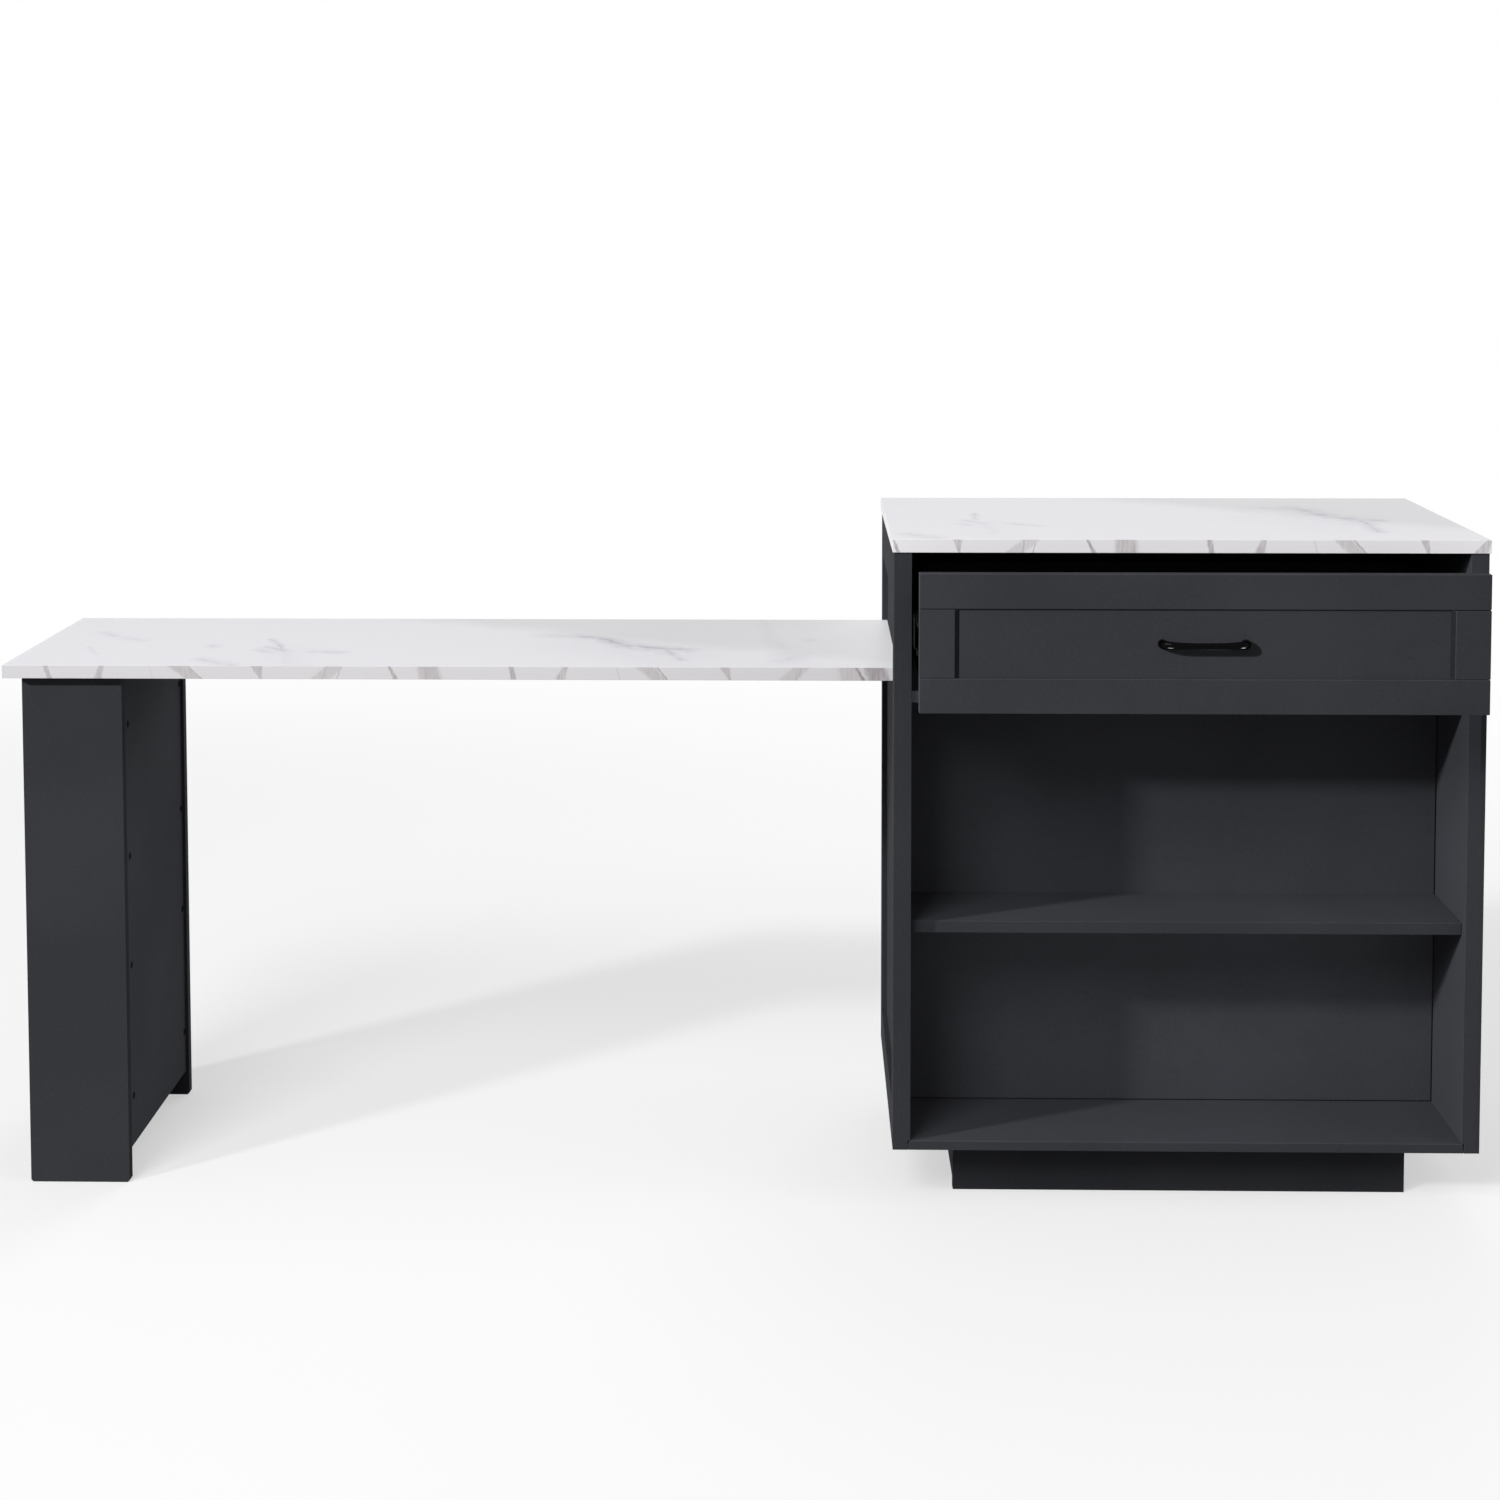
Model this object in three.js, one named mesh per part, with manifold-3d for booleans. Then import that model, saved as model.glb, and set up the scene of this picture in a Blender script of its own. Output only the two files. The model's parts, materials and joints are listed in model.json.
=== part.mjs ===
// Kitchen island unit: a counter-height cabinet with a drawer, two open bays and a rear cupboard,
// and a lower table leaf that butts its left side and stands on a box leg.
// Millimetres, +Z up. X runs along the counter, the drawer faces -Y, the floor is Z = 0.

import * as THREE from 'three';
import { mergeVertices } from 'three/addons/utils/BufferGeometryUtils.js';
import Module from 'manifold-3d';

// Counter and cabinet body
const counterWidth = 800;
const counterDepth = 450;
const counterThickness = 18;
const counterOverhang = 2;
const unitHeight = 918;
const plinthHeight = 79;

// Framed sides: a core board with four strips on its outer face
const sideCoreThickness = 17;
const sideStripThickness = 7;
const sideStripWidth = 36.5;
const sideTopStripHeight = 66;
const sideBottomStripHeight = 50;

// Boards between the sides
const bottomThickness = 13;
const bottomHousingDepth = 3.4;
const dividerThickness = 16;
const drawerSpaceHeight = 191.5;
const shelfThickness = 16;
const bayShelfTopHeight = 392;
const cupboardShelfTopHeight = 400;
const cupboardShelfDoorGap = 30;
const bayDepth = 152;
const bayBackThickness = 12;
const stretcherThickness = 15;
const stretcherWidth = 60;
const frontStretcherSetback = 116;
const rearPanelThickness = 16;

// Plinth
const plinthBoardThickness = 15;
const plinthInsetSide = 86;
const plinthInsetFront = 58;
const plinthInsetRear = 58;
const plinthSideLift = 13;

// Framed faces: the drawer front, the doors and the fixed rear panel
const faceRecess = 4;
const faceBevel = 7;

// Drawer
const drawerOpening = 110;
const drawerSideGap = 4.3;
const drawerTopGap = 11.5;
const drawerLap = 3.5;
const drawerStopGap = 1;
const drawerCoreThickness = 11;
const drawerRailHeight = 46;
const drawerStileWidth = 45.5;
const drawerBoxLength = 350;
const drawerBoxTopGap = 49.5;
const drawerBoxLift = 12;
const drawerBoardThickness = 12;
const drawerBottomThickness = 6;
const drawerBottomRise = 8;

// Ball-bearing runners, three members a side
const runnerSpace = 12.7;
const runnerHeight = 45;
const runnerGauge = 1.2;
const runnerPlay = 0.4;
const runnerLipSetback = 2.5;
const runnerLength = 345;

// Bow pulls. The two bends at each end stand in from the foot by a share of its radius,
// and out by a share of the bow's height
const pullSpan = 108;
const pullProjection = 20;
const pullFootRadius = 6.3;
const pullFootHeight = 5;
const pullFootEdgeShare = 0.55;
const pullFootNeckShare = 0.72;
const pullBarHeight = 8;
const pullBarDepth = 6;
const pullKneeInShare = 0.3;
const pullKneeOutShare = 0.55;
const pullShoulderInShare = 1.7;
const pullShoulderOutShare = 0.9;

// Rear doors and their lift-off hinges
const doorThickness = 18;
const doorGap = 2;
const doorFrameWidth = 55;
const doorPullInset = 27.5;
const doorPullDrop = 95;
const rearPanelFrameWidth = 46;
const hingeHeight = 50;
const hingePlateThickness = 1.5;
const hingePlateWidth = 18;
const hingeKnuckleRadius = 3.5;
const hingePinRadius = 1.5;
const hingePlay = 0.4;
const hingeLift = 0.5;
const hingeEndDistance = 60;

// Table leaf
const leafTopHeight = 736;
const leafThickness = 18;
const leafLength = 1230;
const leafClearance = 0.5;
const cleatSize = 18;
const cleatFrontSetback = 96;
const cleatRearSetback = 30;

// Box leg under the free end of the leaf
const legWidth = 139;
const legBoardThickness = 15;
const legWebThickness = 15;
const legWebInset = 4.5;
const legWebLift = 38;
const legTopThickness = 15;
const legEndOverhang = 19;
const legFrontOverhang = 25;
const legRearOverhang = 5;
const legCornerCut = 3;

// Segments of the turned and swept shapes
const pullSteps = 28;
const pullSides = 12;
const knuckleSides = 20;

const charcoal = new THREE.MeshStandardMaterial({ color: 0x36373a, roughness: 0.55, metalness: 0 });
const marble = new THREE.MeshStandardMaterial({ color: 0xe6e6ea, roughness: 0.35, metalness: 0 });
const blackMetal = new THREE.MeshStandardMaterial({ color: 0x0b0b0c, roughness: 0.25, metalness: 0.6 });
const runnerSteel = new THREE.MeshStandardMaterial({ color: 0x1c1c1e, roughness: 0.4, metalness: 0.6 });

const wasm = await Module();
wasm.setup();

function toSolid(geometry) {
  const bare = geometry.clone();
  bare.deleteAttribute('normal');
  bare.deleteAttribute('uv');
  const merged = mergeVertices(bare, 1e-4);
  return new wasm.Manifold(new wasm.Mesh({
    numProp: 3,
    vertProperties: new Float32Array(merged.attributes.position.array),
    triVerts: new Uint32Array(merged.index.array),
  }));
}

function toGeometry(solid) {
  const mesh = solid.getMesh();
  const geometry = new THREE.BufferGeometry();
  geometry.setAttribute('position', new THREE.BufferAttribute(mesh.vertProperties, 3));
  geometry.setIndex(new THREE.BufferAttribute(mesh.triVerts, 1));
  geometry.computeVertexNormals();
  return geometry;
}

function join(...geometries) {
  return toGeometry(geometries.map(toSolid).reduce((whole, piece) => whole.add(piece)));
}

function cut(body, tool) {
  return toGeometry(toSolid(body).subtract(toSolid(tool)));
}

function box([x0, x1], [y0, y1], [z0, z1]) {
  const geometry = new THREE.BoxGeometry(Math.abs(x1 - x0), Math.abs(y1 - y0), Math.abs(z1 - z0));
  return geometry.translate((x0 + x1) / 2, (y0 + y1) / 2, (z0 + z1) / 2);
}

function outline(points) {
  return new THREE.Shape(points.map(([a, b]) => new THREE.Vector2(a, b)));
}

// A section in X and Y, from z0 up to z1
function prismUp(points, [z0, z1]) {
  const geometry = new THREE.ExtrudeGeometry(outline(points), { depth: z1 - z0, bevelEnabled: false });
  return geometry.translate(0, 0, z0);
}

// A section in X and Z, from y0 back to y1
function prismBack(points, [y0, y1]) {
  const geometry = new THREE.ExtrudeGeometry(outline(points), { depth: y1 - y0, bevelEnabled: false });
  return geometry.rotateX(Math.PI / 2).translate(0, y1, 0);
}

function cylinderUp(radius, x, y, [z0, z1], sides) {
  const geometry = new THREE.CylinderGeometry(radius, radius, z1 - z0, sides);
  return geometry.rotateX(Math.PI / 2).translate(x, y, (z0 + z1) / 2);
}

function add(parent, name, material, geometry) {
  const mesh = new THREE.Mesh(geometry, material);
  mesh.name = name;
  parent.add(mesh);
  return mesh;
}

function board(parent, name, xs, ys, zs, material = charcoal) {
  return add(parent, name, material, box(xs, ys, zs));
}

// Levels and faces that several pieces share
const bodyLeft = counterOverhang;
const bodyFront = counterOverhang;
const bodyRear = counterDepth - counterOverhang;
const bodyTop = unitHeight - counterThickness;
const coreOuter = bodyLeft + sideStripThickness;
const innerLeft = coreOuter + sideCoreThickness;
const innerRight = counterWidth - innerLeft;
const bottomTop = plinthHeight + bottomThickness;
const dividerTop = bodyTop - drawerSpaceHeight;
const dividerUnderside = dividerTop - dividerThickness;
const drawerFrontThickness = drawerCoreThickness + faceRecess;
const boardFront = bodyFront + drawerFrontThickness + drawerStopGap;
const bayBackFront = bodyFront + bayDepth;
const bayBackRear = bayBackFront + bayBackThickness;
const inner = [innerLeft, innerRight];

const island = new THREE.Group();
const cabinet = new THREE.Group();
const drawer = new THREE.Group();
const runnerMiddles = new THREE.Group();
island.add(cabinet, drawer, runnerMiddles);
drawer.position.y = -drawerOpening;
runnerMiddles.position.y = -drawerOpening / 2;

// The two hands of the cabinet: the left one keeps its X, the right one mirrors it
const hands = [
  { hand: 'left', at: (x) => x, sign: 1 },
  { hand: 'right', at: (x) => counterWidth - x, sign: -1 },
];

function buildCounter() {
  board(cabinet, 'countertop', [0, counterWidth], [0, counterDepth], [bodyTop, unitHeight], marble);
}

// The core has a rebate along its lower inner edge that houses the bottom board
function sideCore(at) {
  const housing = innerLeft - bottomHousingDepth;
  const section = [
    [coreOuter, plinthHeight],
    [housing, plinthHeight],
    [housing, bottomTop],
    [innerLeft, bottomTop],
    [innerLeft, bodyTop],
    [coreOuter, bodyTop],
  ];
  return prismBack(section.map(([x, z]) => [at(x), z]), [bodyFront, bodyRear]);
}

function buildSides() {
  const frontStrip = [bodyFront, bodyFront + sideStripWidth];
  const rearStrip = [bodyRear - sideStripWidth, bodyRear];
  const between = [frontStrip[1], rearStrip[0]];
  for (const { hand, at } of hands) {
    const strip = [at(bodyLeft), at(coreOuter)];
    const full = [plinthHeight, bodyTop];
    add(cabinet, `${hand}_side_panel`, charcoal, sideCore(at));
    board(cabinet, `${hand}_side_front_strip`, strip, frontStrip, full);
    board(cabinet, `${hand}_side_rear_strip`, strip, rearStrip, full);
    board(cabinet, `${hand}_side_top_strip`, strip, between, [bodyTop - sideTopStripHeight, bodyTop]);
    board(cabinet, `${hand}_side_bottom_strip`, strip, between,
      [plinthHeight, plinthHeight + sideBottomStripHeight]);
  }
}

function buildCarcass() {
  const rearPanelFront = bodyRear - rearPanelThickness;
  const cupboardDepth = [bayBackRear, bodyRear - doorThickness - cupboardShelfDoorGap];
  const stretcher = [bodyTop - stretcherThickness, bodyTop];
  const stretcherFront = bodyFront + frontStretcherSetback;
  const housed = [innerLeft - bottomHousingDepth, innerRight + bottomHousingDepth];
  board(cabinet, 'bottom_board', housed, [bodyFront, bodyRear], [plinthHeight, bottomTop]);
  board(cabinet, 'divider_board', inner, [boardFront, bodyRear], [dividerUnderside, dividerTop]);
  board(cabinet, 'bay_back_panel', inner, [bayBackFront, bayBackRear], [bottomTop, dividerUnderside]);
  board(cabinet, 'bay_shelf', inner, [boardFront, bayBackFront],
    [bayShelfTopHeight - shelfThickness, bayShelfTopHeight]);
  board(cabinet, 'cupboard_shelf', inner, cupboardDepth,
    [cupboardShelfTopHeight - shelfThickness, cupboardShelfTopHeight]);
  board(cabinet, 'front_stretcher', inner, [stretcherFront, stretcherFront + stretcherWidth], stretcher);
  board(cabinet, 'rear_stretcher', inner, [rearPanelFront - stretcherWidth, rearPanelFront], stretcher);
  const panel = { xs: inner, zs: [dividerTop, bodyTop], frame: rearPanelFrameWidth };
  add(cabinet, 'rear_panel', charcoal, framedFace({ ...panel, thickness: rearPanelThickness }));
}

function buildPlinth() {
  const left = bodyLeft + plinthInsetSide;
  const right = counterWidth - left;
  const front = bodyFront + plinthInsetFront;
  const rear = bodyRear - plinthInsetRear;
  const between = [front + plinthBoardThickness, rear - plinthBoardThickness];
  board(cabinet, 'plinth_front', [left, right], [front, between[0]], [0, plinthHeight]);
  board(cabinet, 'plinth_rear', [left, right], [between[1], rear], [0, plinthHeight]);
  for (const { hand, at } of hands) {
    board(cabinet, `plinth_${hand}`, [at(left), at(left + plinthBoardThickness)], between,
      [plinthSideLift, plinthHeight]);
  }
}

// A face on the rear of the cabinet: a board with a shallow field, bevelled at its two sides
function framedFace({ xs, zs, frame, thickness }) {
  const face = bodyRear;
  const field = [
    [xs[0] + frame, face],
    [xs[0] + frame + faceBevel, face - faceRecess],
    [xs[1] - frame - faceBevel, face - faceRecess],
    [xs[1] - frame, face],
    [xs[1] - frame, face + faceRecess],
    [xs[0] + frame, face + faceRecess],
  ];
  return cut(box(xs, [face - thickness, face], zs), prismUp(field, [zs[0] + frame, zs[1] - frame]));
}

// A bow pull along X that stands out towards -Y from the origin
function pullGeometry() {
  const half = pullSpan / 2;
  const bow = pullProjection - pullBarDepth / 2;
  const knee = [half - pullFootRadius * pullKneeInShare, -bow * pullKneeOutShare];
  const shoulder = [half - pullFootRadius * pullShoulderInShare, -bow * pullShoulderOutShare];
  const rise = new THREE.CatmullRomCurve3([
    new THREE.Vector3(-half, -pullFootHeight / 2, 0),
    new THREE.Vector3(-knee[0], knee[1], 0),
    new THREE.Vector3(-shoulder[0], shoulder[1], 0),
    new THREE.Vector3(0, -bow, 0),
    new THREE.Vector3(shoulder[0], shoulder[1], 0),
    new THREE.Vector3(knee[0], knee[1], 0),
    new THREE.Vector3(half, -pullFootHeight / 2, 0),
  ]);
  const section = new THREE.Shape();
  section.absellipse(0, 0, pullBarHeight / 2, pullBarDepth / 2, 0, Math.PI * 2);
  const bar = new THREE.ExtrudeGeometry(section, {
    steps: pullSteps,
    curveSegments: pullSides,
    extrudePath: rise,
  });
  const profile = [[0, 0], [1, 0], [1, pullFootEdgeShare], [pullFootNeckShare, 1], [0, 1]];
  const feet = [-half, half].map((x) => {
    const foot = new THREE.LatheGeometry(
      profile.map(([r, h]) => new THREE.Vector2(r * pullFootRadius, h * pullFootHeight)),
      pullSides * 2,
    );
    return foot.rotateX(Math.PI).translate(x, 0, 0);
  });
  return join(bar, ...feet);
}

// One channel of a runner, open towards the drawer: a web with a lip above and below
function runnerChannel(at, webX, lipX, halfHeight, centre) {
  const web = webX + Math.sign(lipX - webX) * runnerGauge;
  const section = [
    [webX, -halfHeight],
    [lipX, -halfHeight],
    [lipX, -halfHeight + runnerGauge],
    [web, -halfHeight + runnerGauge],
    [web, halfHeight - runnerGauge],
    [lipX, halfHeight - runnerGauge],
    [lipX, halfHeight],
    [webX, halfHeight],
  ];
  return prismBack(section.map(([x, z]) => [at(x), centre + z]), [boardFront, boardFront + runnerLength]);
}

function buildRunners(centre) {
  const boxSide = innerLeft + runnerSpace;
  const nest = runnerGauge + runnerPlay;
  const lip = boxSide - runnerGauge - runnerLipSetback;
  for (const { hand, at } of hands) {
    add(cabinet, `${hand}_runner_outer`, runnerSteel,
      runnerChannel(at, innerLeft, lip, runnerHeight / 2, centre));
    add(runnerMiddles, `${hand}_runner_middle`, runnerSteel,
      runnerChannel(at, innerLeft + nest, lip, runnerHeight / 2 - nest, centre));
    add(drawer, `${hand}_runner_inner`, runnerSteel,
      runnerChannel(at, boxSide, innerLeft + 2 * nest, runnerHeight / 2 - 2 * nest, centre));
  }
}

function buildDrawer() {
  const front = [innerLeft + drawerSideGap, innerRight - drawerSideGap];
  const zs = [dividerTop - drawerLap, bodyTop - drawerTopGap];
  const faceLine = bodyFront;
  const coreFront = faceLine + faceRecess;
  const coreRear = coreFront + drawerCoreThickness;
  board(drawer, 'drawer_front_board', front, [coreFront, coreRear], zs);
  board(drawer, 'drawer_top_rail', front, [faceLine, coreFront], [zs[1] - drawerRailHeight, zs[1]]);
  board(drawer, 'drawer_bottom_rail', front, [faceLine, coreFront], [zs[0], zs[0] + drawerRailHeight]);

  const boxSide = innerLeft + runnerSpace;
  const boxInner = boxSide + drawerBoardThickness;
  const boxLow = dividerTop + drawerBoxLift;
  const boxRear = coreRear + drawerBoxLength;
  const boxZs = [boxLow, bodyTop - drawerBoxTopGap];
  for (const { hand, at } of hands) {
    const stile = [
      [front[0], faceLine],
      [front[0] + drawerStileWidth, faceLine],
      [front[0] + drawerStileWidth + faceBevel, coreFront],
      [front[0], coreFront],
    ];
    add(drawer, `drawer_${hand}_stile`, charcoal, prismUp(stile.map(([x, y]) => [at(x), y]),
      [zs[0] + drawerRailHeight, zs[1] - drawerRailHeight]));
    board(drawer, `drawer_${hand}_side`, [at(boxSide), at(boxInner)], [coreRear, boxRear], boxZs);
  }
  const between = [boxInner, counterWidth - boxInner];
  const backFront = boxRear - drawerBoardThickness;
  board(drawer, 'drawer_back', between, [backFront, boxRear], boxZs);
  board(drawer, 'drawer_bottom', between, [coreRear, backFront],
    [boxLow + drawerBottomRise, boxLow + drawerBottomRise + drawerBottomThickness]);

  const middle = (zs[0] + zs[1]) / 2;
  const pull = add(drawer, 'drawer_pull', blackMetal, pullGeometry());
  pull.position.set(counterWidth / 2, coreFront, middle);
  buildRunners(middle);
}

// One half of a lift-off hinge: a plate on the rear face and a knuckle over half its height
function hingeHalf(at, axisX, plateSide, low, isFrameHalf) {
  const pivotY = bodyRear + hingeKnuckleRadius + hingeLift;
  const mid = low + hingeHeight / 2;
  const near = axisX + plateSide * (hingeKnuckleRadius + hingePlay);
  const far = near + plateSide * hingePlateWidth;
  const plateYs = [bodyRear, bodyRear + hingePlateThickness];
  const knuckleZs = isFrameHalf ? [low, mid - hingePlay / 2] : [mid + hingePlay / 2, low + hingeHeight];
  const x = at(axisX);
  const plate = box([at(near), at(far)], plateYs, [low, low + hingeHeight]);
  const tab = box([x, at(near + plateSide)], plateYs, knuckleZs);
  const knuckle = cylinderUp(hingeKnuckleRadius, x, pivotY, knuckleZs, knuckleSides);
  if (isFrameHalf) {
    const pin = cylinderUp(hingePinRadius, x, pivotY, [mid - hingePlay, low + hingeHeight], knuckleSides);
    return join(plate, tab, knuckle, pin);
  }
  const bore = cylinderUp(hingePinRadius + hingePlay, x, pivotY,
    [low, low + hingeHeight + hingePlay], knuckleSides);
  return cut(join(plate, tab, knuckle), bore);
}

function buildDoors() {
  const zs = [bottomTop + doorGap, dividerUnderside - doorGap];
  const hung = innerLeft + doorGap;
  const free = counterWidth / 2 - doorGap / 2;
  const axisX = innerLeft + doorGap / 2;
  for (const { hand, at, sign } of hands) {
    const door = new THREE.Group();
    island.add(door);
    const xs = [at(hung), at(free)].sort((a, b) => a - b);
    add(door, `${hand}_door`, charcoal,
      framedFace({ xs, zs, frame: doorFrameWidth, thickness: doorThickness }));
    const pull = add(door, `${hand}_door_pull`, blackMetal, pullGeometry());
    pull.rotation.set(0, sign * Math.PI / 2, Math.PI);
    pull.position.set(at(free - doorPullInset), bodyRear, zs[1] - doorPullDrop);
    const lows = { lower: zs[0] + hingeEndDistance, upper: zs[1] - hingeEndDistance - hingeHeight };
    for (const [level, low] of Object.entries(lows)) {
      add(cabinet, `${hand}_${level}_hinge_frame_half`, blackMetal, hingeHalf(at, axisX, -1, low, true));
      add(door, `${hand}_${level}_hinge_door_half`, blackMetal, hingeHalf(at, axisX, 1, low, false));
    }
  }
}

function buildLeaf() {
  const right = coreOuter;
  const left = right - leafLength;
  const underside = leafTopHeight - leafThickness;
  const front = bodyFront + sideStripWidth + leafClearance;
  const rear = bodyRear - sideStripWidth - leafClearance;
  board(island, 'leaf_top', [left, right], [front, rear], [underside, leafTopHeight], marble);
  board(island, 'leaf_wall_cleat', [right - cleatSize, right],
    [front + cleatFrontSetback, rear - cleatRearSetback], [underside - cleatSize, underside]);
  buildLeg({ left: left + legEndOverhang, front: front + legFrontOverhang, rear: rear - legRearOverhang,
    top: underside });
}

// The leg is a box: two wide boards that reach the floor, and two webs between them that stop short of it
function buildLeg({ left, front, rear, top }) {
  const right = left + legWidth;
  const face = outlineOfLegBoard(left, right, top);
  const between = [front + legBoardThickness, rear - legBoardThickness];
  add(island, 'leg_front_board', charcoal, prismBack(face, [front, between[0]]));
  add(island, 'leg_rear_board', charcoal, prismBack(face, [between[1], rear]));
  const webInner = [right - legWebInset - legWebThickness, right - legWebInset];
  const webOuter = [left + legWebInset, left + legWebInset + legWebThickness];
  board(island, 'leg_inner_web', webInner, between, [legWebLift, top]);
  board(island, 'leg_outer_web', webOuter, between, [legWebLift, top]);
  board(island, 'leg_top_board', [webOuter[1], webInner[0]], between, [top - legTopThickness, top]);
}

function outlineOfLegBoard(left, right, top) {
  return [
    [left + legCornerCut, 0],
    [right - legCornerCut, 0],
    [right, legCornerCut],
    [right, top],
    [left, top],
    [left, legCornerCut],
  ];
}

buildCounter();
buildSides();
buildCarcass();
buildPlinth();
buildDrawer();
buildDoors();
buildLeaf();

// The origin is under the middle of the unit's box, on the floor
const reach = new THREE.Box3().setFromObject(island);
island.position.set(-(reach.min.x + reach.max.x) / 2, -(reach.min.y + reach.max.y) / 2, 0);

const group = new THREE.Group();
group.add(island);

export default group;
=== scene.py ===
import json
import math

import bmesh
import bpy
from mathutils import Matrix, Vector

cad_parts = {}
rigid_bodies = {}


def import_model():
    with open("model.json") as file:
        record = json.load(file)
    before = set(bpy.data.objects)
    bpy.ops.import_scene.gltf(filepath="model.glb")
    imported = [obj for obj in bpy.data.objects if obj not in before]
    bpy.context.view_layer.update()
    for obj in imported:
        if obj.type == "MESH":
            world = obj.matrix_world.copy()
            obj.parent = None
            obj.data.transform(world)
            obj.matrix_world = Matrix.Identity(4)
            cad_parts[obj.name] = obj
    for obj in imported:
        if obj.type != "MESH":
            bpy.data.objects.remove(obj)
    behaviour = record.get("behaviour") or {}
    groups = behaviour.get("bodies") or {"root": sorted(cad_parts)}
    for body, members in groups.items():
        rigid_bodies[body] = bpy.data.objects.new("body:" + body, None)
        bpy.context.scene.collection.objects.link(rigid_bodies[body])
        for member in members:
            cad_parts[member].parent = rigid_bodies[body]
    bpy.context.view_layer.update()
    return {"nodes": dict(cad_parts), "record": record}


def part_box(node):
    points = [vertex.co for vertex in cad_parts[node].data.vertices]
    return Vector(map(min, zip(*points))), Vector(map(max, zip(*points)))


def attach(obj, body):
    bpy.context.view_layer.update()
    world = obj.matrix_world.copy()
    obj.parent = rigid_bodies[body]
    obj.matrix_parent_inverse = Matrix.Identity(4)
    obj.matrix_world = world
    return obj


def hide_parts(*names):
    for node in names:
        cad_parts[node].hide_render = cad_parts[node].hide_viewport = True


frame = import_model()
bodyOfNode = {node: body for body, nodes in frame["record"]["behaviour"]["bodies"].items() for node in nodes}
mm = 0.001
print("frame loaded:", len(bodyOfNode), "nodes")


# Camera, fitted to the photograph: its place in metres, angles in degrees, lens and sensor in mm, and the
# shift as a share of the picture's width
cameraView = {
    "at": (0.0802, -3.3294, 1.3679),
    "yaw": 1.1095,
    "pitch": 3.4,
    "roll": -0.056,
    "lens": 56.761,
    "sensor": 36,
    "shiftY": -0.27049,
}

# Lamps that stand round the island and look at the middle of it; an unseen one isn't mirrored. Sizes and
# places in metres, power in watts, softness in degrees. All the keys but drawerKey are suns: bayKey is for
# the boards that close the open bays and isn't shaded by the drawer, legKey for the leg's front, dividerKey
# for the board under the drawer, and keySun for the rest. drawerKey is a lamp for the drawer's front. A card
# is a small lamp for one piece: two make the glints on the pull, leafCard lights the leaf's end beside the
# cabinet, and shelfCard lights the back of the lower bay from under the shelf's front edge
studio = {
    "lookAt": (0.1, 0.0, 0.55),
    "lamps": {
        "frontLamp": {"at": (-2.0, -4.0, 4.2), "size": 2.5, "power": 182},
        "rightLamp": {"at": (5.6, -1.2, 2.2), "size": 3.0, "power": 95, "unseen": True},
        "rearLamp": {"at": (1.5, 5.0, 3.2), "size": 3.0, "power": 79, "unseen": True},
        "sideLamp": {"at": (3.6, 3.6, 1.8), "size": 3.0, "power": 90, "unseen": True},
    },
    "keySun": {"along": (1.2, 1.0, -0.9), "softness": 5.0, "strength": 1.25},
    "bayKey": {"along": (2.15, 1.0, -1.08), "softness": 3.5, "strength": 2.25},
    "legKey": {"along": (1.2, 1.0, -0.6), "softness": 2.5, "strength": 3.75},
    "dividerKey": {"along": (0.15, 1.0, -0.2), "softness": 5.0, "strength": 1.3},
    "drawerKey": {"at": (-4.54, -3.83, 3.36), "size": 0.3, "power": 588},
    "pullCards": {
        "leftPullCard": {"at": (0.4, -0.64, 0.28), "size": 0.2, "power": 13.0},
        "rightPullCard": {"at": (1.04, -0.52, 0.4), "size": 0.2, "power": 13.0},
    },
    "leafCard": {"at": (0.25, 0.05, 0.826), "size": 0.08, "long": 0.46, "power": 0.2},
    "shelfCard": {"size": 0.66, "long": 0.04, "power": 0.11, "under": 0.03},
    "ambient": 0.3,
    "floorColour": 0.93,
    "floorBounce": 0.28,
    "floorGlow": 0.5,
    "floorSize": 16,
    "floorFadeShape": (0.62, 1, 0),
    "floorFadeFrom": 1.9,
    "floorFadeTo": 4.2,
}


def greyOf(level):
    share = level / 255
    return share / 12.92 if share <= 0.04045 else ((share + 0.055) / 1.055) ** 2.4


# A colour as the eye reads it off a screen, 0 to 255, made linear
def colour(red, green, blue):
    return (greyOf(red), greyOf(green), greyOf(blue), 1)


# A socket that does sums: each operator adds a Math node
class Wire:
    def __init__(self, tree, socket):
        self.tree = tree
        self.socket = socket

    def math(self, operation, first, second=0.0):
        return self.tree.node("ShaderNodeMath", {"operation": operation}, {0: first, 1: second})

    def __add__(self, other):
        return self.math("ADD", self, other)

    def __radd__(self, other):
        return self.math("ADD", other, self)

    def __sub__(self, other):
        return self.math("SUBTRACT", self, other)

    def __rsub__(self, other):
        return self.math("SUBTRACT", other, self)

    def __mul__(self, other):
        return self.math("MULTIPLY", self, other)

    def __rmul__(self, other):
        return self.math("MULTIPLY", other, self)

    def __truediv__(self, other):
        return self.math("DIVIDE", self, other)

    def __abs__(self):
        return self.math("ABSOLUTE", self)

    def most(self, other):
        return self.math("MAXIMUM", self, other)

    def clamped(self):
        return self.tree.node("ShaderNodeClamp", None, {0: self})

    # 0 below low, 1 above high, and smooth between them
    def rising(self, low, high):
        values = {0: self, 1: low, 2: high, 3: 0.0, 4: 1.0}
        return self.tree.node("ShaderNodeMapRange", {"interpolation_type": "SMOOTHSTEP"}, values)


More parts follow.
